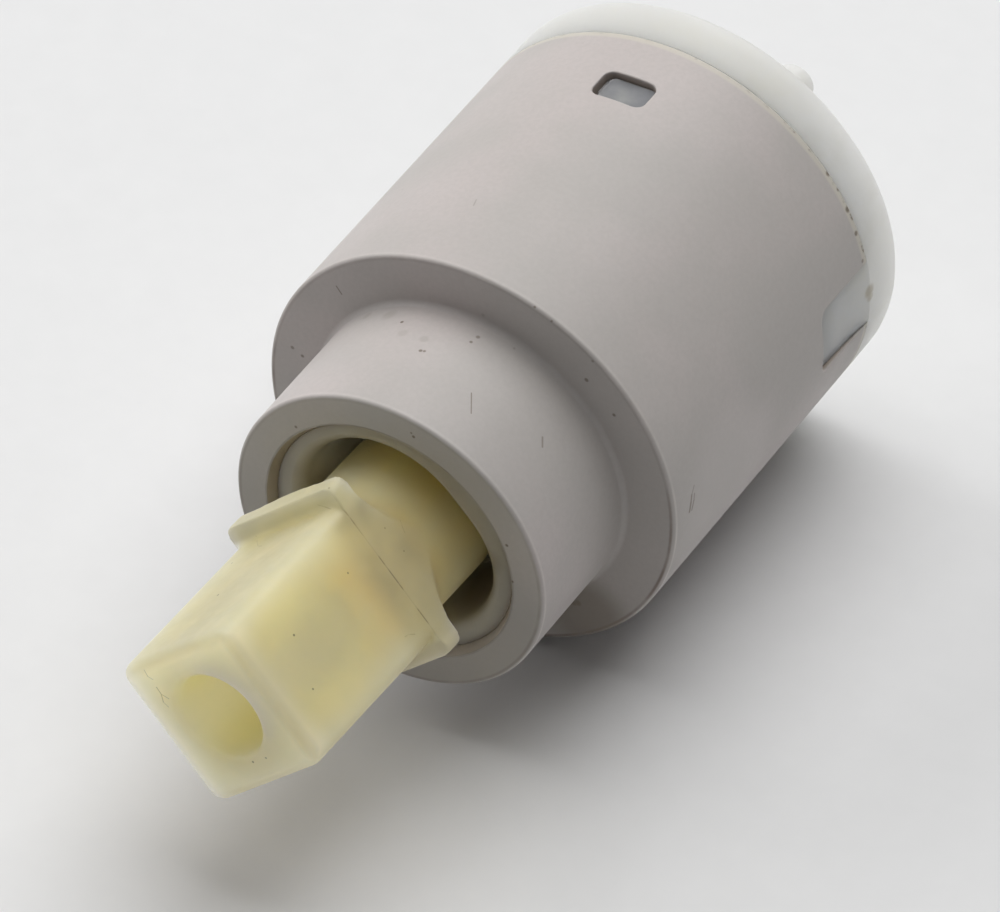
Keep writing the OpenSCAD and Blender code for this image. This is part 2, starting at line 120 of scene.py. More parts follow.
def bevelEdges(piece, test, width, segments):
    mesh = startEdit(piece, "EDGE")
    pick(piece, mesh.edges, test)
    bpy.ops.mesh.bevel(offset=width * mm, segments=segments, clamp_overlap=False, loop_slide=False)
    endEdit()


def bevelRings(piece, rings):
    # Rounds the edges that lie on circles about the axis: height, radius, width and segments of each
    for height, radius, width, segments in rings:
        bevelEdges(piece, lambda edge: all(abs(heightOf(v.co) - height) < near
                                           and abs(radiusOf(v.co) - radius) < near for v in edge.verts),
                   width, segments)


# Shapes about the cartridge axis


def addPrimitive(operator, **options):
    # Adds a primitive alone and applies its place
    deselectAll()
    operator(**options)
    finishMove(bpy.context.object)
    return bpy.context.object


def addCylinder(radius, low, high, segments=fineSegments):
    return addPrimitive(bpy.ops.mesh.primitive_cylinder_add, vertices=segments, radius=radius * mm,
                        depth=(high - low) * mm, location=(0, -(low + high) / 2 * mm, 0),
                        rotation=(math.pi / 2, 0, 0))


def addPin(radius, height, length, segments):
    # A cylinder that lies across the axis, along Z
    return addPrimitive(bpy.ops.mesh.primitive_cylinder_add, vertices=segments, radius=radius * mm,
                        depth=length * mm, location=(0, -height * mm, 0))


def growRings(piece, top, radius, rings):
    # Extrudes the upper end face from ring to ring; each ring is a height and a radius
    mesh = startEdit(piece, "FACE")
    pick(piece, mesh.faces, lambda face: face.normal.y < -straight
         and abs(heightOf(face.calc_center_median()) - top) < near / 10)
    for height, newRadius in rings:
        bpy.ops.mesh.extrude_region_move(TRANSFORM_OT_translate={"value": (0, -(height - top) * mm, 0)})
        scale = newRadius / radius
        bpy.ops.transform.resize(value=(scale, 1, scale), center_override=(0, -height * mm, 0))
        top, radius = height, newRadius
    endEdit()


def addBlock(centre, size, angle=0.0):
    # A box whose sides run outwards, along the axis and across, turned about the axis
    outwards, height, across = centre
    turn = math.radians(angle)
    x = outwards * math.cos(turn) - across * math.sin(turn)
    z = outwards * math.sin(turn) + across * math.cos(turn)
    return addPrimitive(bpy.ops.mesh.primitive_cube_add, size=1, location=(x * mm, -height * mm, z * mm),
                        rotation=(0, -turn, 0), scale=[side * mm for side in size])


def isSharp(edge, angle):
    return len(edge.link_faces) == 2 and edge.calc_face_angle() > angle


def outwardDirection(angle):
    return Vector((math.cos(math.radians(angle)), 0, math.sin(math.radians(angle))))


def bevelAlong(piece, direction, width, segments):
    def runsAlong(edge):
        side = (edge.verts[1].co - edge.verts[0].co).normalized()
        return abs(side.dot(direction)) > straight

    bevelEdges(piece, runsAlong, width, segments)


def turned(piece, angle):
    piece.rotation_euler = (0, -math.radians(angle), 0)
    finishMove(piece)


def smoothShading(piece):
    makeActive(piece)
    bpy.ops.object.shade_smooth_by_angle(angle=math.radians(35))
    applyModifier(piece, "WEIGHTED_NORMAL", keep_sharp=True, weight=50)


# Materials


def linear(hexColour):
    parts = [int(hexColour[i:i + 2], 16) / 255 for i in (1, 3, 5)]
    return tuple(c / 12.92 if c <= 0.04045 else ((c + 0.055) / 1.055) ** 2.4 for c in parts) + (1.0,)


def addNode(tree, kind, settings=None, inputs=None):
    # An input may be a socket, a node (its first output), a hex colour or a plain value
    node = tree.nodes.new("ShaderNode" + kind)
    for name, value in (settings or {}).items():
        setattr(node, name, value)
    for name, value in (inputs or {}).items():
        if isinstance(value, bpy.types.Node):
            value = value.outputs[0]
        if isinstance(value, bpy.types.NodeSocket):
            tree.links.new(value, node.inputs[name])
        else:
            node.inputs[name].default_value = linear(value) if isinstance(value, str) else value
    return node


# Settings that many nodes share
smooth = {"interpolation_type": "SMOOTHSTEP"}
colours = {"data_type": "RGBA"}
times = {"operation": "MULTIPLY"}
minus = {"operation": "SUBTRACT"}
larger = {"operation": "MAXIMUM"}
smaller = {"operation": "MINIMUM"}
unsigned = {"operation": "ABSOLUTE"}
scaled = {"operation": "SCALE"}
lengthOf = {"operation": "LENGTH"}
between = {"operation": "DISTANCE"}


def startMaterial(name, constants):
    material = bpy.data.materials.new(name)
    material.use_nodes = True
    shader = material.node_tree.nodes["Principled BSDF"]
    for socket, value in constants.items():
        shader.inputs[socket].default_value = value
    return material, material.node_tree, shader


def partPlace(tree):
    # The place in millimetres, its X, Y and Z, the height above the base seat and the distance from the axis
    coordinates = addNode(tree, "TexCoord")
    place = addNode(tree, "VectorMath", scaled, {0: coordinates.outputs["Object"], "Scale": 1 / mm})
    parts = addNode(tree, "SeparateXYZ", {}, {0: place})
    height = addNode(tree, "Math", times, {0: parts.outputs["Y"], 1: -1})
    across = addNode(tree, "VectorMath", times, {0: place, 1: (1, 0, 1)})
    distance = addNode(tree, "VectorMath", lengthOf, {0: across})
    return place, parts.outputs, height, distance.outputs["Value"]


def addMask(tree, *parts):
    # The product of its parts: numbers, nodes, and soft ramps. A ramp is a source, the two values between
    # which it changes and, where they aren't 0 and 1, its levels there
    amount = 1.0
    for part in parts:
        if isinstance(part, tuple):
            part = addNode(tree, "MapRange", smooth, dict(enumerate(part)))
        amount = addNode(tree, "Math", times, {0: amount, 1: part})
    return amount


def layCoats(tree, shade, coats):
    # Lays colours over each other; a coat is a colour and the parts of its mask
    for colour, *parts in coats:
        shade = addNode(tree, "Mix", colours, {0: addMask(tree, *parts), 6: shade, 7: colour}).outputs[2]
    return shade


def strongest(tree, marks):
    # Marks that overlap don't add up
    total = 0.0
    for mark in marks:
        total = addNode(tree, "Math", larger, {0: total, 1: mark})
    return total


def addDust(tree, place, sorts):
    # Scattered dots: the width of the cells, the largest radius and the share of the cells that hold a dot
    marks = []
    for spacing, size, share in sorts:
        cells = addNode(tree, "TexVoronoi", {}, {"Vector": place, "Scale": 1 / spacing})
        chance = addNode(tree, "SeparateColor", {}, {0: cells.outputs["Color"]})
        held = addNode(tree, "Math", {"operation": "LESS_THAN"}, {0: chance.outputs["Red"], 1: share})
        reach = addNode(tree, "MapRange", {}, {0: chance.outputs["Green"], 3: 0.4 * size / spacing,
                                               4: size / spacing})
        inside = addNode(tree, "Math", {"operation": "DIVIDE"}, {0: cells.outputs["Distance"], 1: reach})
        marks.append(addMask(tree, (inside, 1.2, 0.6), held))
    return strongest(tree, marks)


def addSpots(tree, place, spots):
    # Single marks: the middle in millimetres, the radius and the strength of each
    marks = []
    for middle, radius, strength in spots:
        away = addNode(tree, "VectorMath", between, {0: place, 1: middle})
        marks.append(addMask(tree, (away.outputs["Value"], 1.3 * radius, 0.5 * radius), strength))
    return strongest(tree, marks)


def addStrokes(tree, place, strokes):
    # Scratches and fibres: the two ends in millimetres, the half width and the strength of each
    marks = []
    for start, end, width, strength in strokes:
        line = Vector(end) - Vector(start)
        offset = addNode(tree, "VectorMath", minus, {0: place, 1: start})
        share = addNode(tree, "VectorMath", {"operation": "DOT_PRODUCT"},
                        {0: offset, 1: tuple(line / line.length_squared)})
        share = addNode(tree, "MapRange", {}, {0: share.outputs["Value"]})
        nearest = addNode(tree, "VectorMath", scaled, {0: tuple(line), "Scale": share})
        away = addNode(tree, "VectorMath", between, {0: offset, 1: nearest})
        marks.append(addMask(tree, (away.outputs["Value"], 1.4 * width, 0.5 * width), strength))
    return strongest(tree, marks)


def ringLine(tree, distance, height, radius, level, reach):
    # A soft line round the axis, at a radius and a height: the ramp from its edge to its middle
    outwards = addNode(tree, "Math", minus, {0: distance, 1: radius})
    upwards = addNode(tree, "Math", minus, {0: height, 1: level})
    away = addNode(tree, "CombineXYZ", {}, {0: outwards, 1: upwards})
    away = addNode(tree, "VectorMath", lengthOf, {0: away})
    return (away.outputs["Value"], *reach)


def finishSurface(tree, shader, shade, texture, roughness=None, relief=None):
    # Links the colour and what a texture gives: roughness between two values, and a relief of a strength
    # and a height in millimetres
    tree.links.new(shade, shader.inputs["Base Color"])
    if roughness:
        low, high = roughness
        rough = addNode(tree, "MapRange", {}, {0: texture, 1: 0.3, 2: 0.7, 3: low, 4: high})
        tree.links.new(rough.outputs[0], shader.inputs["Roughness"])
    if relief:
        strength, depth = relief
        raised = addNode(tree, "Bump", {}, {"Height": texture, "Strength": strength, "Distance": depth * mm})
        tree.links.new(raised.outputs["Normal"], shader.inputs["Normal"])


# Camera, light and table

cameraSettings = {
    "azimuth": 30.634,  # degrees round the object, from the front
    "elevation": 42.516,
    "location": (0.30315, -0.54596, 0.54078),
    "lens": 339.3,  # millimetres, as the sensor
    "sensor": 36.0,
    "clip": (0.01, 10),  # metres
}


def viewDirection(azimuth, elevation):
    a, e = math.radians(azimuth), math.radians(elevation)
    return Vector((math.sin(a) * math.cos(e), -math.cos(a) * math.cos(e), math.sin(e)))


def addAimed(name, data, azimuth, elevation, location):
    # A camera or lamp at a place, looking back along the direction of the two angles
    item = bpy.data.objects.new(name, data)
    bpy.context.scene.collection.objects.link(item)
    item.location = location
    item.rotation_mode = "QUATERNION"
    item.rotation_quaternion = viewDirection(azimuth, elevation).to_track_quat("Z", "Y")
    return item


def addCamera(settings):
    data = bpy.data.cameras.new("camera")
    data.lens = settings["lens"]
    data.sensor_width = settings["sensor"]
    data.sensor_fit = "HORIZONTAL"
    data.clip_start, data.clip_end = settings["clip"]
    bpy.context.scene.camera = addAimed("camera", data, settings["azimuth"], settings["elevation"],
                                        settings["location"])


addCamera(cameraSettings)

lightSettings = {
    "roomColour": "#eef0f2",
    "roomStrength": 0.1,
    "backgroundColour": "#e4e4e5",
    # Azimuth and elevation in degrees, distance and width in metres, watts
    "softboxes": {"back softbox": (182, 72, 1.3, 1.5, 17.8), "side softbox": (270, 30, 1.3, 1.0, 7.2)},
}


def raySeen(tree):
    # One for what the camera sees, straight or by gloss or through a clear part
    path = addNode(tree, "LightPath")
    return strongest(tree, [path.outputs[f"Is {kind} Ray"] for kind in ("Camera", "Transmission", "Glossy")])


def addLights(settings):
    world = bpy.data.worlds.new("studio")
    world.use_nodes = True
    tree = world.node_tree
    room = tree.nodes["Background"]
    room.inputs["Color"].default_value = linear(settings["roomColour"])
    room.inputs["Strength"].default_value = settings["roomStrength"]
    # The room looks pale to the camera and in gloss, and lights the object only weakly
    pale = addNode(tree, "Background", {}, {"Color": settings["backgroundColour"], "Strength": 1.0})
    mixed = addNode(tree, "MixShader", {}, {0: raySeen(tree), 1: room, 2: pale})
    tree.links.new(mixed.outputs[0], tree.nodes["World Output"].inputs["Surface"])
    bpy.context.scene.world = world
    for name, (azimuth, elevation, distance, width, power) in settings["softboxes"].items():
        data = bpy.data.lights.new(name, "AREA")
        data.shape = "DISK"
        data.size = width
        data.energy = power
        addAimed(name, data, azimuth, elevation, viewDirection(azimuth, elevation) * distance)


addLights(lightSettings)
bpy.context.scene.view_settings.view_transform = "Standard"

tableSettings = {
    "size": 6,  # metres
    "height": -20.0,  # millimetres from the cartridge axis
    "colour": "#e6e6e6",
    "peelColour": "#e2e2e2",
    "peelScale": 330,  # grains in a metre, so that one is 3 mm wide
    "fade": (0.2, 0.6),  # metres from the middle, between which it passes into the background
}


def tableMaterial(settings):
    # Matt paint, rolled: a faint orange-peel grain, drawn at 3 mm so that it shows at all
    material, tree, shader = startMaterial("matt paint rolled", {
        "Roughness": 0.62, "Specular IOR Level": 0.15})
    coordinates = addNode(tree, "TexCoord").outputs["Object"]
    peel = addNode(tree, "TexNoise", {}, {"Vector": coordinates, "Scale": settings["peelScale"], "Detail": 3})
    shade = layCoats(tree, settings["colour"], [(settings["peelColour"], peel)])
    finishSurface(tree, shader, shade, peel, relief=(0.04, 0.1))
    # Far from the object the table passes into the pale background, as seen and in gloss only
    reach = addNode(tree, "VectorMath", lengthOf, {0: coordinates})
    far = addMask(tree, (reach.outputs["Value"], *settings["fade"]), raySeen(tree))
    pale = addNode(tree, "Emission", {}, {"Color": lightSettings["backgroundColour"], "Strength": 1.0})
    mixed = addNode(tree, "MixShader", {}, {0: far, 1: shader, 2: pale})
    tree.links.new(mixed.outputs[0], tree.nodes["Material Output"].inputs["Surface"])
    return material


table = addPrimitive(bpy.ops.mesh.primitive_plane_add, size=tableSettings["size"],
                     location=(0, 0, tableSettings["height"] * mm))
table.name = "table"
table.data.materials.append(tableMaterial(tableSettings))

# Housing: a moulded sleeve with a shoulder and a neck

housingSettings = {
    "bodyRadius": 20.0,
    "jointHeight": 5.0,
    "shoulderHeight": 39.0,
    "neckRadius": 15.05,
    "neckTop": 52.4,
    "mouthRadius": 12.05,
    "mouthDepth": 1.0,
    "boreRadius": 11.55,
    "cavityRadius": 17.6,
    "cavityTop": 36.4,
    "edgeRound": 0.35,
    "neckFillet": 0.55,
    "jointRound": 0.12,
    "windowAngles": (92.5, 272.5),
    "windowHeight": 11.8,
    "windowSize": (5.1, 3.4),
    "windowCorner": 0.9,
    "notchAngles": (2.5, 182.5),
    "notchSize": (6.8, 8.2),
    "notchCorner": 1.2,
    "cutRound": 0.14,
    "cutterDepth": 5.0,  # more than the wall
    "rimMargin": 0.25,  # how far round a cut its rim is looked for
    "jointMargin": 0.4,  # what stays untouched beside the joint
    "mergeDistance": 0.06,
    "sharpRim": 0.6,  # radians between two faces, past which their edge is rounded
    "filmTop": (22, 18),  # heights between which the film in the windows and notches begins
    "colours": {
        "plain": "#c0b8b5", "cloud": "#b7b2ae", "grain": "#aaa5a1", "film": "#a49b8d", "walls": "#a08f80",
        "jointHighlight": "#cbc6b9", "mouthLine": "#5f5042", "paintedNeckHighlight": "#f4f0ea", "neckEnd": "#b3b4ae",
        "shadedEnd": "#98948e", "dirt": "#6a5e4f", "dust": "#5c554e", "held": "#cfc9c6", "smudgeAndShadow": "#8d857b",
        "scratch": "#63533f",
    },
    # Lines along the round edges, a brown one and a pale painted highlight: inset and drop from the edge,
    # colour, strength
    "edgeLinesAndHighlight": [(0.35, 0.0, "#6f5d52", 0.7), (0.0, 0.4, "#d9d2cc", 0.6)],
    # Width of the cells and largest radius in millimetres, share of the cells that hold a dot
    "dust": [(3.2, 0.2, 0.04), (1.7, 0.1, 0.03)],
    "handledSide": (18.5, -5, 7.5),  # where the dirt in the joint is thickest
    # Middle in millimetres, radius, strength
    "spots": [((-5.1, -41.61, 14.16), 0.17, 0.9), ((-1.42, -44.68, 14.98), 0.18, 0.8),
              ((-1.1, -44.6, 15.0), 0.15, 0.7), ((1.81, -40.73, 14.94), 0.2, 0.6),
              ((1.64, -41.58, 14.96), 0.16, 0.7), ((4.84, -39.77, 14.46), 0.22, 0.7),
              ((-9.01, -52.4, 8.88), 0.16, 0.7), ((2.52, -52.4, 13.13), 0.16, 0.8),
              ((2.3, -52.4, 13.45), 0.12, 0.6), ((11.52, -52.4, 5.07), 0.16, 0.8),
              ((11.33, -39.0, 13.13), 0.22, 0.7), ((14.01, -39.0, 10.42), 0.18, 0.7),
              ((-16.68, -39.0, 3.01), 0.18, 0.7), ((-17.68, -39.0, 3.53), 0.2, 0.6),
              ((1.27, -39.2, 15.84), 0.25, 0.5),
              ((12.08, -52.3, 1.2), 0.16, 1.0), ((15.43, -5.1, 12.52), 0.3, 0.9),
              ((16.44, -5.1, 11.16), 0.22, 0.9), ((17.47, -5.2, 9.45), 0.34, 0.9),
              ((18.59, -5.4, 7.36), 0.25, 0.8), ((19.43, -5.6, 4.73), 0.2, 0.6),
              ((6.25, -38.95, 18.95), 0.16, 0.7), ((7.9, -38.9, 18.1), 0.14, 0.6),
              ((11.9, -38.9, 15.5), 0.18, 0.5), ((10.67, -39.0, -12.84), 0.34, 0.85),
              ((10.3, -39.0, -13.05), 0.28, 0.8)],
    # Smudges on the neck, and last a painted shadow on the shoulder under the neck
    "smudgesAndShadow": [((-6.98, -40.61, 13.33), 0.7, 0.25), ((-9.55, -40.04, 11.72), 0.5, 0.25),
               ((-4.13, -43.05, 14.47), 0.5, 0.2), ((-1.96, -43.23, 14.92), 0.45, 0.25),
               ((11.5, -39.0, -13.8), 4.4, 0.8)],
    # A painted highlight on the far lower edge of the neck
    "paintedNeckHighlight": [((10, -52.4, -12), 8, 0.8)],
    # Painted light from the table on the side
    "held": [((20, -30, -2.5), 8, 0.4)],
    # Two ends in millimetres, half width, strength
    "scratches": [((4.57, -46.44, 14.34), (5.62, -48.25, 13.95), 0.06, 0.6),
                  ((-13.15, -39.0, 12.55), (-12.65, -39.0, 11.9), 0.08, 0.6),
                  ((10.48, -44.8, 10.8), (10.86, -45.45, 10.42), 0.1, 0.45),
                  ((19.87, -35.5, 2.35), (19.93, -36.0, 1.7), 0.09, 0.4),
                  ((19.93, -36.0, 1.7), (19.98, -36.2, 1.0), 0.13, 0.55),
                  ((19.98, -36.2, 1.0), (20.0, -36.45, 0.2), 0.16, 0.6),
                  ((19.95, -35.55, 1.5), (19.98, -35.7, 0.9), 0.1, 0.45),
                  ((19.98, -35.7, 0.9), (20.0, -36.05, 0.1), 0.13, 0.5),
                  ((-4.6, -30.2, 19.46), (-4.4, -31.0, 19.51), 0.06, 0.3)],
}


def nearCut(point, settings, opening):
    # True for a point of the outer face on the rim of a cut
    if abs(radiusOf(point) - settings["bodyRadius"]) > 2 * near:
        return False
    angle, height, width, length = opening
    margin = settings["rimMargin"]
    out = outwardDirection(angle)
    across = (point.z * out.x - point.x * out.z) / mm
    outwards = (point.x * out.x + point.z * out.z) / mm
    return (outwards > 0 and abs(across) < width / 2 + margin
            and abs(heightOf(point) - height) < length / 2 + margin)


def cutWall(piece, settings, opening, corner):
    # Cuts an opening with round corners through the wall and rounds its rim
    angle, height, width, length = opening
    wallMiddle = (settings["bodyRadius"] + settings["cavityRadius"]) / 2
    cutter = addBlock((wallMiddle, height, 0), (settings["cutterDepth"], length, width), angle)
    bevelAlong(cutter, outwardDirection(angle), corner, 6)
    cut(piece, cutter)
    joint, margin = settings["jointHeight"], settings["jointMargin"]
    # Points that lie almost together on the rim would fold over when it is rounded
    mesh = startEdit(piece, "VERT")
    pick(piece, mesh.verts, lambda vert: nearCut(vert.co, settings, opening)
         and abs(heightOf(vert.co) - joint) > margin)
    bpy.ops.mesh.remove_doubles(threshold=settings["mergeDistance"] * mm)
    endEdit()
    bevelEdges(piece, lambda edge: all(nearCut(v.co, settings, opening) for v in edge.verts)
               and not all(abs(heightOf(v.co) - joint) < margin for v in edge.verts)
               and isSharp(edge, settings["sharpRim"]), settings["cutRound"], 3)


def makeHousing(settings):
    body, neck = settings["bodyRadius"], settings["neckRadius"]
    joint, shoulder, top = settings["jointHeight"], settings["shoulderHeight"], settings["neckTop"]
    piece = addCylinder(body, joint, shoulder)
    piece.name = "housing_sleeve"
    # Half a facet's turn keeps the facet edges clear of the sides of the windows and notches
    turned(piece, 180 / fineSegments)
    growRings(piece, shoulder, body, [
        (shoulder, neck), (top, neck), (top, settings["mouthRadius"]),
        (top - settings["mouthDepth"], settings["boreRadius"]),
        (settings["cavityTop"], settings["boreRadius"]), (settings["cavityTop"], settings["cavityRadius"]),
        (joint, settings["cavityRadius"])])
    # Open the lower end: both end faces go, and a ring closes the wall
    mesh = startEdit(piece, "FACE")
    pick(piece, mesh.faces, lambda face: len(face.verts) > 8)
    bpy.ops.mesh.delete(type="FACE")
    bpy.ops.mesh.select_mode(type="EDGE")
    mesh = bmesh.from_edit_mesh(piece.data)
    pick(piece, mesh.edges, lambda edge: edge.is_boundary)
    bpy.ops.mesh.bridge_edge_loops()
    endEdit()
    edge = settings["edgeRound"]
    bevelRings(piece, [(shoulder, body, edge, 4), (top, neck, edge, 4),
                       (shoulder, neck, settings["neckFillet"], 10),
                       (joint, body, settings["jointRound"], 5)])
    width, height = settings["windowSize"]
    for angle in settings["windowAngles"]:
        cutWall(piece, settings, (angle, settings["windowHeight"], width, height), settings["windowCorner"])
    width, height = settings["notchSize"]
    for angle in settings["notchAngles"]:
        cutWall(piece, settings, (angle, joint, width, 2 * height), settings["notchCorner"])
    smoothShading(piece)
    return piece


print("stage: housing")
housing = makeHousing(housingSettings)
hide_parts("housing")
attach(housing, "housing_body")


def housingMaterial(settings):
    # Acetal moulded in a lightly eroded mould: an even warm grey with a soft broad sheen
    material, tree, shader = startMaterial("acetal moulded warm grey", {
        "Roughness": 0.45, "IOR": 1.48, "Specular IOR Level": 0.3, "Subsurface Weight": 0.15,
        "Subsurface Scale": 0.8 * mm, "Subsurface Radius": (1.0, 0.9, 0.8)})
    place, parts, height, distance = partPlace(tree)
    body, joint, shoulder = settings["bodyRadius"], settings["jointHeight"], settings["shoulderHeight"]
    neck, top, mouth = settings["neckRadius"], settings["neckTop"], settings["mouthRadius"]
    paint = settings["colours"]
    # Flow clouds some 15 mm wide, the mould's grain, drawn at 0.5 mm so that it shows, and a patchy film
    cloud = addNode(tree, "TexNoise", {}, {"Vector": place, "Scale": 1 / 15, "Detail": 2})
    cloud = addMask(tree, (cloud, 0.35, 0.65))
    grain = addNode(tree, "TexNoise", {}, {"Vector": place, "Scale": 1 / 0.5, "Detail": 4, "Roughness": 0.65})
    film = addNode(tree, "TexNoise", {}, {"Vector": place, "Scale": 1 / 3})
    outer = (distance, body - 1, body - 0.6)
    neckEnd = (height, top - 0.15, top - 0.02)
    coats = [
        (paint["cloud"], cloud),
        (paint["grain"], (grain, 0.3, 0.7), 0.25),
        # Brown film inside the mouth of the neck, made stronger on the upper side as painted shade
        (paint["film"], (film, 0.3, 0.6, 0.75), (distance, mouth + 0.2, mouth - 0.05),
         (parts["Z"], -6, 4, 0.15), (height, shoulder - 1, shoulder + 3)),
        # The walls of the windows and notches hold some of it too
        (paint["walls"], (distance, body - 0.08, body - 0.4), (height, *settings["filmTop"]), 0.6),
        # The moulded edge over the joint is painted paler, a painted highlight on its rounding
        (paint["jointHighlight"], (height, joint + 0.8, joint + 0.45), outer, 0.7),
    ]
    # Along the round edges of the shoulder and the neck: a brown line on the face, and beside it on the wall
    # a pale painted highlight, both strongest on the side that lies low
    edgeLineMask = addMask(tree, (film, 0.3, 0.6, 0.4), (parts["Z"], 8, -4, 0.2))
    for radius, level in ((body, shoulder), (neck, top)):
        for inset, drop, colour, strength in settings["edgeLinesAndHighlight"]:
            ring = ringLine(tree, distance, height, radius - inset, level - drop, (0.22, 0.04))
            coats.append((colour, ring, edgeLineMask, strength))
    # Dirt in the joint, in broken lines, thickest on the side that was handled
    crumbs = addNode(tree, "TexNoise", {}, {"Vector": place, "Scale": 1 / 1.3, "Detail": 4, "Roughness": 0.7})
    side = addNode(tree, "VectorMath", between, {0: place, 1: settings["handledSide"]}).outputs["Value"]
    dirt = addMask(tree, (crumbs, 0.52, 0.68), (height, joint + 0.42, joint + 0.2), (side, 14, 7, 0.3), outer)
    coats += [
        # A thin brown line lies round the mouth
        (paint["mouthLine"], ringLine(tree, distance, height, mouth + 0.07, top, (0.14, 0.03)),
         (film, 0.35, 0.6, 0.25, 0.6)),
        # A painted highlight where daylight catches the far lower edge of the neck
        (paint["paintedNeckHighlight"], addSpots(tree, place, settings["paintedNeckHighlight"]), ring, edgeLineMask),
        # The end of the neck is greyer, and painted shade darkens it most where it lies low
        (paint["neckEnd"], neckEnd, 0.3),
        (paint["shadedEnd"], (parts["Z"], 7, -6), neckEnd, 0.5),
        (paint["dirt"], strongest(tree, [dirt, addSpots(tree, place, settings["spots"])])),
        (paint["dust"], addDust(tree, place, settings["dust"]), 0.7),
        # Painted light: the side is a little paler where light bouncing from the table falls on it
        (paint["held"], addSpots(tree, place, settings["held"])),
        # Smudges on the neck, and a painted shadow on the shoulder under the neck
        (paint["smudgeAndShadow"], addSpots(tree, place, settings["smudgesAndShadow"])),
        (paint["scratch"], addStrokes(tree, place, settings["scratches"])),
    ]
    # The grain is raised by less than 0.06 mm, and the clouds are a little glossier or duller
    finishSurface(tree, shader, layCoats(tree, paint["plain"], coats), grain, relief=(0.12, 0.06))
    gloss = addNode(tree, "MapRange", {}, {0: cloud, 3: 0.42, 4: 0.5})
    tree.links.new(gloss.outputs[0], shader.inputs["Roughness"])
    return material


housing.data.materials.append(housingMaterial(housingSettings))

# Guide of the spindle: a bell-mouthed sleeve that turns in the neck

guideSettings = {
    "turn": -46.5,  # degrees from +X to the direction of the tilt, as shown
    "radius": 11.545,
    "top": 51.5,
    "edgeRound": 0.1,
    "flangeRadius": 17.35,
    "flangeTop": 35.5,
    "skirtTop": 31.4,
    "skirtBottom": 24.4,
    "groove": (36.9, 38.9, 9.75),  # lower and upper height, radius
    "mouthFloor": 43.5,
    "floorRadius": 7.32,
    "wallSlope": 7.0,
    "mouthShift": (0.96, 1.35),  # at the floor and at the lip
    "lipRadius": 1.5,
    "lipLift": 0.03,
    "slot": (13.6, 9.4),  # for the arm of the spindle
    "wayWidth": 18.2,  # for the carrier
    "pinHeight": 41.0,
    "pinRadius": 1.5,
    "colours": {
        "lip": "#aca799", "paintedLightDeep": "#d2ccb2", "film": "#9b9484", "outside": "#a69c8d", "grease": "#6a5c49",
        "bellPaleSide": "#f4eedd",
    },
    # Middle in millimetres, radius, strength
    # A darker patch on one side of the bell and a paler one on the other
    "grease": [((6.5, -46.5, -5.5), 4.4, 0.85), ((9.2, -50.8, 1.4), 1.5, 0.3)],
    "bellPaleSide": [((-8.2, -46.2, 3.2), 3.8, 1.0)],
}


def mouthCutter(settings):
    # A flaring plug with a hollow lip, wider in the tilt direction
    floor, radius = settings["mouthFloor"], settings["floorRadius"]
    slope = math.radians(settings["wallSlope"])
    lip = settings["lipRadius"]
    lipHeight = settings["top"] - lip + settings["lipLift"]
    lipCentre = radius + (lipHeight - floor) * math.tan(slope) + lip / math.cos(slope)
    rings, steps = [], 8
    for step in range(steps + 1):
        angle = slope + (math.pi / 2 - slope) * step / steps
        rings.append((lipHeight + lip * math.sin(angle), lipCentre - lip * math.cos(angle)))
    rings.append((settings["top"] + 2 * spare, lipCentre + 0.05))
    start = 0.5  # height of the first, straight piece of the plug
    plug = addCylinder(radius, floor, floor + start, 96)
    growRings(plug, floor + start, radius, [(floor + start, radius + start * math.tan(slope))] + rings)
    # Pull the two halves apart, more towards the lip, so that the lever has room to tilt
    shiftLow, shiftHigh = settings["mouthShift"]
    for height, shift in [(floor, shiftLow), (floor + start, shiftLow)] + [(h, shiftHigh) for h, _ in rings]:
        for side in (-1, 1):
            mesh = startEdit(plug, "VERT")
            pick(plug, mesh.verts, lambda vert: vert.co.x * side > 1e-6
                 and abs(heightOf(vert.co) - height) < 1e-4)
            bpy.ops.transform.translate(value=(side * shift * mm, 0, 0))
            endEdit()
    return plug


def makeGuide(settings):
    radius, top = settings["radius"], settings["top"]
    grooveLow, grooveHigh, grooveRadius = settings["groove"]
    piece = addCylinder(settings["flangeRadius"], settings["skirtBottom"], settings["flangeTop"])
    piece.name = "guide_sleeve"
    growRings(piece, settings["flangeTop"], settings["flangeRadius"], [
        (settings["flangeTop"], radius), (grooveLow, radius), (grooveLow, grooveRadius),
        (grooveHigh, grooveRadius), (grooveHigh, radius), (top, radius)])
    bevelRings(piece, [(top, radius, settings["edgeRound"], 5)])
    cut(piece, mouthCutter(settings))
    slotLength, slotWidth = settings["slot"]
    low = settings["skirtBottom"] - spare
    floor = settings["mouthFloor"] + 2 * near
    cut(piece, addBlock((0, (low + floor) / 2, 0), (slotLength, floor - low, slotWidth)))
    way = settings["skirtTop"]
    cut(piece, addBlock((0, (low + way) / 2, 0), (through, way - low, settings["wayWidth"])))
    cut(piece, addPin(settings["pinRadius"], settings["pinHeight"], through, 32))
    turned(piece, settings["turn"])
    smoothShading(piece)
    return piece


print("stage: guide")
guide = makeGuide(guideSettings)
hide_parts("spindle_guide")
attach(guide, "guide")


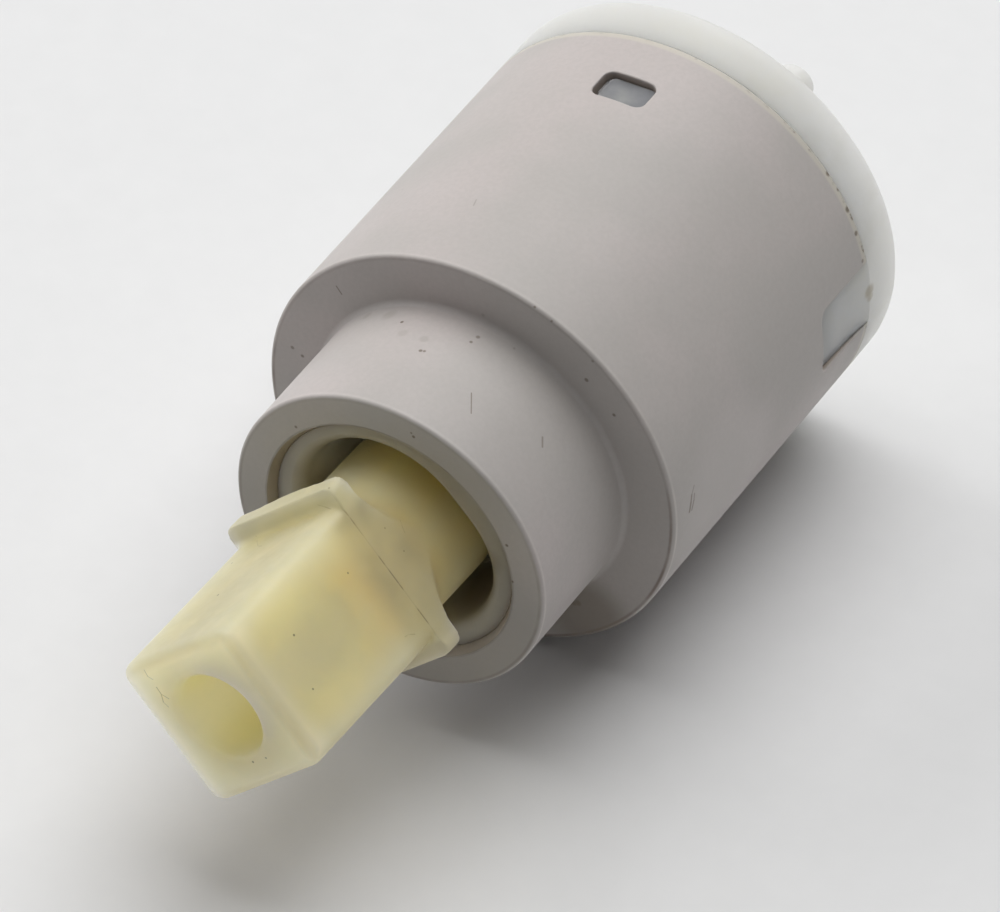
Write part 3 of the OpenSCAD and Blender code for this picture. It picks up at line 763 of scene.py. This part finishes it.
def guideMaterial(settings):
    # Acetal as the housing, under a film of old grease that is a little glossier; deeper in the bell the
    # colour is painted paler, as painted light
    material, tree, shader = startMaterial("acetal with grease film", {
        "Roughness": 0.4, "IOR": 1.48, "Subsurface Weight": 0.9, "Subsurface Scale": 7 * mm,
        "Subsurface Radius": (1.0, 0.92, 0.8)})
    place, _, height, distance = partPlace(tree)
    top, radius, paint = settings["top"], settings["radius"], settings["colours"]
    film = addNode(tree, "TexNoise", {}, {"Vector": place, "Scale": 1 / 2.5, "Detail": 3})
    shade = layCoats(tree, paint["lip"], [
        # Deeper in the bell the colour is painted paler, as painted light
        (paint["paintedLightDeep"], (height, top - 0.6, top - 6.5)),
        (paint["film"], (film, 0.3, 0.7), 0.35),
        (paint["outside"], (distance, radius - 0.6, radius - 0.1)),
        # The bell is darker on one side and paler on the other
        (paint["grease"], addSpots(tree, place, settings["grease"])),
        (paint["bellPaleSide"], addSpots(tree, place, settings["bellPaleSide"])),
    ])
    finishSurface(tree, shader, shade, film, (0.5, 0.32), (0.1, 0.1))
    return material


guide.data.materials.append(guideMaterial(guideSettings))

# Spindle: nylon, soft at every edge

spindleSettings = {
    "turn": guideSettings["turn"],
    "lean": -1.5,  # degrees on the pivot pin, as shown
    "pivotHeight": 41.0,
    "side": 14.2,
    "sideCorner": 1.3,
    "tipHeight": 78.4,
    "tipRound": 0.7,
    "holeRadius": 4.1,
    "holeDepth": 14.0,
    "holeRound": 0.45,
    "drillPoint": 1.8,
    "drillTip": 0.15,  # its end against the hole
    "collarTop": 60.2,
    "collarThickness": 2.0,
    "earOut": 1.7,
    "collarStep": 0.1,
    "collarCorner": 0.7,
    "shaftRadius": 7.2,
    "shaftBottom": 46.9,
    "filletRadius": 3.4,
    "lugRadius": 6.6,
    "lugWidth": 9.2,
    "lugNeck": 5.6,
    "armRadius": 2.6,
    "armRoot": 35.0,  # where the arm meets the lug
    "armFlare": 5.0,  # over this length it widens
    "ballHeight": 25.2,
    "ballRadius": 3.2,
    "pinHoleRadius": 1.55,
    "voxel": 0.2,  # cell of the mesh that joins the shapes, in millimetres
    "softness": 6,  # rounds of smoothing, which melt the edges
    "scatter": 28,  # how far light goes in, in millimetres
    "colours": {
        "edge": "#d3c89f", "core": "#dbc183", "tip": "#fbe0ae", "bore": "#ffe0a4", "collar": "#b2a67b",
        "ear": "#cdc3a2", "shaft": "#d0c696", "corner": "#989072", "paintedShadeBand": "#b5a882", "paintedShadeFace": "#bdb58f",
        "glow": "#f8db9a", "cloud": "#dccd9c", "partingLine": "#5f5233", "dust": "#6a5c3c",
        "spot": "#55482c", "fibre": "#6f5f3a",
    },
    # Cell width, largest radius, share of the cells
    "dust": [(2.6, 0.12, 0.03), (1.4, 0.06, 0.03)],
    # Middle in millimetres, radius, strength
    "spots": [((-5.89, -69.91, 5.25), 0.13, 0.9), ((-8.5, -63.61, 2.54), 0.12, 0.6),
              ((-1.28, -59.69, 11.35), 0.1, 0.5), ((2.97, -57.82, 7.33), 0.08, 0.5),
              ((3.04, -63.85, 7.12), 0.1, 0.6), ((3.07, -72.43, 7.08), 0.11, 0.8),
              ((2.67, -78.51, -2.57), 0.11, 0.7), ((3.95, -78.51, -1.47), 0.1, 0.6),
              ((6.02, -74.34, 3.97), 0.1, 0.7), ((4.73, -57.71, 5.47), 0.08, 0.5)],
    # Painted shade on the collar's upper corner, and painted light where the wall round the bore is thin
    "corner": [((-0.3, -58.9, 10.9), 3.4, 0.9)],
    "glow": [((4.6, -71.5, 5.4), 6.5, 0.85)],
    # Lint fibres and fine scratches: two ends in millimetres, half width, strength
    "fibres": [((-7.95, -78.2, 2.5), (-7.6, -78.23, 1.95), 0.06, 0.6),
               ((-7.6, -78.23, 1.95), (-7.1, -78.24, 1.85), 0.05, 0.5),
               ((-6.75, -78.26, 1.15), (-6.3, -78.28, 0.6), 0.06, 0.7),
               ((-6.3, -78.28, 0.6), (-5.55, -78.31, 0.45), 0.05, 0.6),
               ((-6.3, -78.28, 0.6), (-6.1, -78.28, -0.2), 0.06, 0.7),
               ((-6.1, -78.28, -0.2), (-5.6, -78.31, -0.5), 0.05, 0.5),
               ((8.45, -62.2, 1.4), (8.2, -62.8, 1.75), 0.05, 0.4),
               ((8.2, -62.8, 1.75), (8.1, -63.2, 1.75), 0.05, 0.3),
               ((3.23, -55.85, 6.8), (3.65, -56.22, 6.61), 0.04, 0.3),
               ((3.65, -56.22, 6.61), (4.06, -56.43, 6.18), 0.04, 0.3),
               ((-8.32, -60.09, 2.88), (-7.79, -60.77, 3.11), 0.05, 0.4),
               ((-7.79, -60.77, 3.11), (-6.86, -62.09, 4.04), 0.04, 0.3),
               ((-6.86, -62.09, 4.04), (-6.21, -62.49, 4.68), 0.05, 0.4),
               ((-2.2, -59.99, 9.24), (-1.46, -60.07, 9.42), 0.04, 0.35),
               ((-1.46, -60.07, 9.42), (-0.73, -60.32, 9.73), 0.05, 0.45)],
}


def spindlePlace(settings):
    # The turn about the axis and the lean about the pivot pin, as shown
    pivot = Matrix.Translation((0, -settings["pivotHeight"] * mm, 0))
    lean = Matrix.Rotation(math.radians(settings["lean"]), 4, "Z")
    turn = Matrix.Rotation(-math.radians(settings["turn"]), 4, "Y")
    return turn @ pivot @ lean @ pivot.inverted()


def makeSpindle(settings):
    side, tip, collarTop = settings["side"], settings["tipHeight"], settings["collarTop"]
    square = addBlock((0, (collarTop - spare + tip) / 2, 0), (side, tip - collarTop + spare, side))
    square.name = "spindle_lever"
    axis = Vector((0, 1, 0))
    bevelAlong(square, axis, settings["sideCorner"], 6)
    bevelEdges(square, lambda edge: all(heightOf(v.co) > tip - near for v in edge.verts),
               settings["tipRound"], 4)
    hole, holeBottom = settings["holeRadius"], tip - settings["holeDepth"]
    drill = addCylinder(hole, holeBottom, tip + spare, 64)
    mesh = startEdit(drill, "FACE")
    pick(drill, mesh.faces, lambda face: face.normal.y > straight)
    bpy.ops.mesh.extrude_region_move(TRANSFORM_OT_translate={"value": (0, settings["drillPoint"] * mm, 0)})
    bpy.ops.transform.resize(value=(settings["drillTip"], 1, settings["drillTip"]),
                             center_override=(0, -(holeBottom - settings["drillPoint"]) * mm, 0))
    endEdit()
    cut(square, drill)
    bevelEdges(square, lambda edge: all(heightOf(v.co) > tip - near and radiusOf(v.co) < hole + 10 * near
                                        for v in edge.verts), settings["holeRound"], 4)
    # Collar with its two ears: a block trimmed to the fillet that turns out of the round part
    shaft, fillet = settings["shaftRadius"], settings["filletRadius"]
    collarBottom = collarTop - settings["collarThickness"]
    filletBottom = collarBottom - fillet
    collar = addBlock((0, (filletBottom + collarTop) / 2, 0),
                      (side + 2 * settings["earOut"], collarTop - filletBottom,
                       side + 2 * settings["collarStep"]))
    bevelAlong(collar, axis, settings["collarCorner"], 4)
    flare = addCylinder(shaft, filletBottom - spare, filletBottom, 128)
    rings, steps = [], 12
    for step in range(1, steps + 1):
        angle = math.pi / 2 * step / steps
        rings.append((filletBottom + fillet * math.sin(angle), shaft + fillet * (1 - math.cos(angle))))
    growRings(flare, filletBottom, shaft, rings + [(collarBottom, side), (collarTop + spare, side)])
    cut(collar, flare, "INTERSECT")
    # Round part, lug on the pin, arm and ball
    roundPart = addCylinder(shaft, settings["shaftBottom"], collarTop - 0.5, 128)
    pivot = settings["pivotHeight"]
    lug = addPin(settings["lugRadius"], pivot, settings["lugWidth"], 96)
    neckTop = settings["shaftBottom"] + spare
    neck = addBlock((0, (pivot + neckTop) / 2, 0),
                    (2 * settings["lugNeck"], neckTop - pivot, settings["lugWidth"]))
    cut(lug, neck, "UNION")
    cut(lug, addPin(settings["pinHoleRadius"], pivot, through, 32))
    root, ball = settings["armRoot"], settings["ballHeight"]
    armTop = root - settings["armFlare"]
    arm = addCylinder(settings["armRadius"], ball, armTop, 48)
    growRings(arm, armTop, settings["armRadius"], [(root, settings["lugWidth"] / 2 - 0.1)])
    knob = addPrimitive(bpy.ops.mesh.primitive_uv_sphere_add, segments=48, ring_count=24,
                        radius=settings["ballRadius"] * mm, location=(0, -ball * mm, 0))
    piece = joinPieces([square, collar, roundPart, lug, arm, knob])
    applyModifier(piece, "REMESH", mode="VOXEL", voxel_size=settings["voxel"] * mm, use_smooth_shade=True)
    applyModifier(piece, "SMOOTH", factor=0.5, iterations=settings["softness"])
    piece.matrix_world = spindlePlace(settings)
    finishMove(piece)
    return piece


print("stage: spindle")
spindle = makeSpindle(spindleSettings)
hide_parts("spindle")
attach(spindle, "lever")


def spindleMaterial(settings):
    # Natural nylon, moulded: light goes far into it, so that edges look milky and the thick middle yellow
    material, tree, shader = startMaterial("nylon moulded natural", {
        "Roughness": 0.45, "IOR": 1.53, "Specular IOR Level": 0.35, "Subsurface Weight": 1.0,
        "Subsurface Scale": settings["scatter"] * mm, "Subsurface Radius": (1.0, 0.9, 0.66)})
    whole = partPlace(tree)[0]
    # Straightens the pattern to the leaning spindle, with its middle at the pivot pin
    pivot = settings["pivotHeight"]
    place = addNode(tree, "Mapping", {"vector_type": "TEXTURE"}, {
        0: whole, "Rotation": tuple(spindlePlace(settings).to_euler("XYZ")), "Location": (0, -pivot, 0)})
    parts = addNode(tree, "SeparateXYZ", {}, {0: place}).outputs
    height = addNode(tree, "Math", minus, {0: pivot, 1: parts["Y"]})
    sides = addNode(tree, "VectorMath", unsigned, {0: place})
    sides = addNode(tree, "SeparateXYZ", {}, {0: sides}).outputs
    nearest = addNode(tree, "Math", smaller, {0: sides["X"], 1: sides["Z"]})
    furthest = addNode(tree, "Math", larger, {0: sides["X"], 1: sides["Z"]})
    away = addNode(tree, "VectorMath", times, {0: place, 1: (1, 0, 1)})
    away = addNode(tree, "VectorMath", lengthOf, {0: away}).outputs["Value"]
    half, tip, hole = settings["side"] / 2, settings["tipHeight"], settings["holeRadius"]
    collar, paint = settings["collarTop"], settings["colours"]
    ears = addMask(tree, (furthest, half - 0.2, half + 0.6))
    corner = addSpots(tree, whole, settings["corner"])
    # How far a point lies from the nearest edge of the square end
    side = addNode(tree, "Math", minus, {0: half, 1: nearest})
    end = addNode(tree, "Math", minus, {0: tip, 1: height})
    inwards = addNode(tree, "Math", minus, {0: half, 1: furthest})
    end = addNode(tree, "Math", larger, {0: end, 1: inwards})
    fromEdge = addNode(tree, "Math", smaller, {0: side, 1: end})
    cloud = addNode(tree, "TexNoise", {}, {"Vector": place, "Scale": 1 / 5, "Detail": 2})
    fromLine = addNode(tree, "Math", minus, {0: height, 1: collar + 0.05})
    fromLine = addNode(tree, "Math", unsigned, {0: fromLine})
    broken = addNode(tree, "TexNoise", {}, {"Vector": place, "Scale": 1 / 1.6, "Detail": 3})
    shade = layCoats(tree, paint["edge"], [
        (paint["core"], (nearest, half - 0.5, half - 5.0)),
        # The end face is lit from within and milky, and the bore holds the light
        (paint["tip"], (height, tip - 3.5, tip - 0.4)),
        (paint["bore"], (away, hole + 1.1, hole - 0.2)),
        # Collar and ears are thin and the ears look greyer; round the collar the colour is darker, as painted
        # shade
        (paint["collar"], (height, collar + 4.3, collar + 0.8), (height, collar - 6.2, collar - 2.7)),
        (paint["ear"], ears, 0.85),
        # The round part, down in the mouth, is more olive, and the collar's upper corner is darker, as
        # painted shade
        (paint["shaft"], (height, collar - 3.2, collar - 6.2), 0.7),
        (paint["corner"], corner),
        # Along the edges of the square lies a slightly darker band of painted shade
        (paint["paintedShadeBand"], (fromEdge, 1.3, 0.3), 0.45),
        # One face is a little darker, as painted shade, and the one beside it glows where the wall round the
        # bore is thin, as painted light
        (paint["paintedShadeFace"], (parts["X"], 1.6 - half, 0.1 - half), 0.85),
        (paint["glow"], addSpots(tree, whole, settings["glow"])),
        (paint["cloud"], (cloud, 0.35, 0.65), 0.3),
        # Parting line where the collar meets the square: a hair-thin dark line that fades in and out
        (paint["partingLine"], (fromLine, 0.08, 0.02), (broken, 0.42, 0.6, 0.2),
         (sides["Z"], half - 0.2, half - 0.05), 0.6),
        (paint["dust"], addDust(tree, place, settings["dust"]), 0.7),
        (paint["spot"], addSpots(tree, whole, settings["spots"])),
        (paint["fibre"], addStrokes(tree, whole, settings["fibres"]), 0.75),
    ])
    # Thin places let less light through than the thick middle
    denser = addNode(tree, "MapRange", {}, {0: strongest(tree, [corner, ears]), 3: 1.0, 4: 0.45})
    tree.links.new(denser.outputs[0], shader.inputs["Subsurface Weight"])
    rough = addNode(tree, "TexNoise", {}, {"Vector": place, "Scale": 1 / 0.9, "Detail": 3})
    finishSurface(tree, shader, shade, rough, (0.4, 0.5), (0.08, 0.08))
    return material


spindle.data.materials.append(spindleMaterial(spindleSettings))

# Base: the part's own shape, with keys and catches that fill the notches and windows

baseSettings = {
    "keyAngles": (2.5, 182.5),
    "keyHeights": (3.5, 13.1),
    "keyWidth": 6.76,
    "keyCorner": 1.1,
    "keyMiddle": (18.6, 4),  # distance from the axis and depth of the block
    "keyRadii": (19.98, 19.25),  # flush with the rim below, drawn in above
    "catchAngles": (92.5, 272.5),
    "catchMiddle": (11.8, -0.27),  # height and sideways
    "catchSize": (3.1, 4.5),
    "catchRadius": 19.38,
    "catchDepth": 2.4,
    "catchCorner": 0.6,
    "softEdge": 0.08,
    "sharpRim": 0.8,
    "colours": {
        "rim": "#cecdc7", "paintedLightSide": "#e6e5df", "inside": "#cdcdca", "shaded": "#9b9a94",
        "catch": "#858688", "film": "#cfccbf", "dust": "#77705f", "stain": "#85734c",
    },
    # Cell width, largest radius, share of the cells
    "dust": [(2.4, 0.12, 0.02)],
    # Middle in millimetres, radius, strength
    "stains": [((19.95, -5.1, 1.1), 0.7, 0.5), ((19.9, -5.0, 0.4), 0.5, 0.4),
               # The last is a dark spot at the far corner of a key
               ((19.2, -12.8, -2.2), 0.5, 0.8)],
    "rimTop": 5.1,
    "paintedLightFrom": (6, 17),  # along X, towards the side that is painted lighter
    "shadedFrom": (9.5, 13.2),  # heights
    "catchFrom": (18.0, 18.2),  # along Z, to either side
    "scatter": 16,  # how far light goes in, in millimetres
}


def makeBase(settings):
    # The part's own triangles are copied and merged first
    piece = bpy.data.objects.new("base_disc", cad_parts["base"].data.copy())
    bpy.context.scene.collection.objects.link(piece)
    startEdit(piece, "VERT")
    bpy.ops.mesh.select_all(action="SELECT")
    bpy.ops.mesh.remove_doubles(threshold=0.001 * mm)
    bpy.ops.mesh.customdata_custom_splitnormals_clear()
    bpy.ops.mesh.dissolve_limited(angle_limit=math.radians(0.3))
    endEdit()
    low, high = settings["keyHeights"]
    middle, depth = settings["keyMiddle"]
    wide, narrow = settings["keyRadii"]
    joint, coneTop = housingSettings["jointHeight"], high + 0.2
    for angle in settings["keyAngles"]:
        key = addBlock((middle, (low + high) / 2, 0), (depth, high - low, settings["keyWidth"]), angle)
        bevelAlong(key, outwardDirection(angle), settings["keyCorner"], 6)
        # The outer face is trimmed to a cone, which runs straight on at both ends
        cone = addPrimitive(bpy.ops.mesh.primitive_cone_add, vertices=fineSegments, radius1=wide * mm,
                            radius2=narrow * mm, depth=(coneTop - joint) * mm,
                            location=(0, -(joint + coneTop) / 2 * mm, 0), rotation=(math.pi / 2, 0, 0))
        growRings(cone, coneTop, narrow, [(high + spare, narrow)])
        mesh = startEdit(cone, "FACE")
        pick(cone, mesh.faces, lambda face: face.normal.y > straight)
        bpy.ops.mesh.extrude_region_move(TRANSFORM_OT_translate={"value": (0, 2 * spare * mm, 0)})
        endEdit()
        cut(key, cone, "INTERSECT")
        bevelEdges(key, lambda edge: all(radiusOf(v.co) > narrow + 0.05 and heightOf(v.co) > joint + 0.3
                                         for v in edge.verts)
                   and isSharp(edge, settings["sharpRim"]), settings["softEdge"], 3)
        cut(piece, key, "UNION")
    height, sideways = settings["catchMiddle"]
    radius, depth = settings["catchRadius"], settings["catchDepth"]
    for angle in settings["catchAngles"]:
        catch = addBlock((radius - depth / 2, height, sideways), (depth, *settings["catchSize"]), angle)
        out = outwardDirection(angle)
        bevelAlong(catch, out, settings["catchCorner"], 5)
        bevelEdges(catch, lambda edge: all(v.co.dot(out) / mm > radius - near for v in edge.verts),
                   settings["softEdge"], 3)
        cut(piece, catch, "UNION")
    smoothShading(piece)
    return piece


def baseMaterial(settings):
    # White acetal, moulded: soft and slightly see-through, greyer where dirt and shade gather inside
    material, tree, shader = startMaterial("acetal moulded white", {
        "Roughness": 0.42, "IOR": 1.48, "Specular IOR Level": 0.35, "Subsurface Weight": 0.8,
        "Subsurface Scale": settings["scatter"] * mm, "Subsurface Radius": (1.0, 0.96, 0.85)})
    place, parts, height, _ = partPlace(tree)
    paint = settings["colours"]
    inside = (height, settings["rimTop"] - 0.2, settings["rimTop"] + 0.1)
    side = addNode(tree, "Math", unsigned, {0: parts["Z"]})
    film = addNode(tree, "TexNoise", {}, {"Vector": place, "Scale": 1 / 4, "Detail": 4})
    shade = layCoats(tree, paint["rim"], [
        # Painted light: the rim is lighter towards +X
        (paint["paintedLightSide"], (parts["X"], *settings["paintedLightFrom"])),
        (paint["inside"], inside),
        # The keys lie in the shade of the notches at their far ends
        (paint["shaded"], (height, *settings["shadedFrom"]), 0.5),
        # The two catches stand under the windows, on the Z sides
        (paint["catch"], (side, *settings["catchFrom"]), inside),
        (paint["film"], (film, 0.45, 0.75), 0.3),
        (paint["dust"], addDust(tree, place, settings["dust"]), 0.6),
        # Stains, and a dark spot at the far corner of a key
        (paint["stain"], addSpots(tree, place, settings["stains"])),
    ])
    # Eroded mould, drawn at 0.6 mm so that it shows
    grain = addNode(tree, "TexNoise", {}, {"Vector": place, "Scale": 1 / 0.6, "Detail": 3})
    finishSurface(tree, shader, shade, grain, (0.38, 0.48), (0.08, 0.06))
    return material


print("stage: base")
base = makeBase(baseSettings)
base.data.materials.clear()
base.data.materials.append(baseMaterial(baseSettings))
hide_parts("base")
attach(base, "housing_body")

# The parts inside keep their own shape and get their finish


def waxyMaterial(name, colour, tint, roughness):
    # Unfilled plastic, machined or moulded: waxy, with faint clouds and turning marks at 0.3 mm
    material, tree, shader = startMaterial(name, {
        "Roughness": roughness, "IOR": 1.4, "Subsurface Weight": 0.4, "Subsurface Scale": 2 * mm})
    place, _, _, distance = partPlace(tree)
    cloud = addNode(tree, "TexNoise", {}, {"Vector": place, "Scale": 1 / 3, "Detail": 3})
    rings = addNode(tree, "Math", times, {0: distance, 1: 2 * math.pi / 0.3})
    rings = addNode(tree, "Math", {"operation": "SINE"}, {0: rings})
    finishSurface(tree, shader, layCoats(tree, colour, [(tint, cloud)]), rings, relief=(0.15, 0.01))
    return material


def rubberMaterial():
    # EPDM, moulded: nearly black and dull, with a grey bloom in patches and a little dust
    material, tree, shader = startMaterial("epdm rubber moulded", {
        "Roughness": 0.6, "Specular IOR Level": 0.4})
    place = partPlace(tree)[0]
    bloom = addNode(tree, "TexNoise", {}, {"Vector": place, "Scale": 1 / 1.5, "Detail": 4})
    shade = layCoats(tree, "#1d1d1e", [("#343433", (bloom, 0.4, 0.75)),
                                       ("#8a8680", addDust(tree, place, [(1.1, 0.07, 0.05)]), 0.6)])
    finishSurface(tree, shader, shade, bloom, (0.5, 0.7), (0.15, 0.05))
    return material


def ceramicMaterial():
    # Alumina, pressed, fired and lapped: off-white, hard and even, with fine pores and a clean gloss
    material, tree, shader = startMaterial("alumina lapped", {"Roughness": 0.22, "IOR": 1.76})
    place = partPlace(tree)[0]
    cloud = addNode(tree, "TexNoise", {}, {"Vector": place, "Scale": 1 / 4, "Detail": 2})
    shade = layCoats(tree, "#ece9e2", [("#e2ded5", cloud),
                                       ("#b9b4a8", addDust(tree, place, [(0.8, 0.05, 0.1)]), 0.7)])
    fine = addNode(tree, "TexNoise", {}, {"Vector": place, "Scale": 1 / 0.3, "Detail": 3})
    finishSurface(tree, shader, shade, fine, (0.16, 0.28))
    return material


def steelMaterial(angle):
    # Stainless pin, ground between centres: bright, with fine marks round it drawn at 0.15 mm
    material, tree, shader = startMaterial("stainless steel ground", {"Metallic": 1.0, "Roughness": 0.28})
    along = addNode(tree, "Mapping", {}, {0: partPlace(tree)[0], "Rotation": (0, math.radians(angle), 0),
                                          "Scale": (0.3, 0.3, 6)})
    marks = addNode(tree, "TexNoise", {}, {"Vector": along, "Scale": 1, "Detail": 3})
    finishSurface(tree, shader, layCoats(tree, "#c6c7c6", [("#a9aaaa", marks)]), marks, (0.2, 0.36))
    return material


print("stage: looks of the parts inside")
rubber = rubberMaterial()
ceramic = ceramicMaterial()
looks = {
    "pivot_pin": steelMaterial(guideSettings["turn"]),
    "slide_ring": waxyMaterial("ptfe turned", "#ebebe7", "#e0dfd8", 0.45),
    "friction_ring": rubber,
    "disc_carrier": waxyMaterial("acetal moulded pale", "#d9d7cf", "#cbc8be", 0.4),
    "carrier_seal": rubber,
    "moving_disc": ceramic,
    "fixed_disc": ceramic,
    "disc_gasket": rubber,
    "hot_inlet_seal": rubber,
    "cold_inlet_seal": rubber,
    "outlet_seal": rubber,
}
for name, material in looks.items():
    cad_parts[name].material_slots[0].material = material

for piece in (housing, guide, spindle, base):
    piece.data.calc_loop_triangles()
    print(piece.name, len(piece.data.vertices), "vertices", len(piece.data.loop_triangles), "triangles")
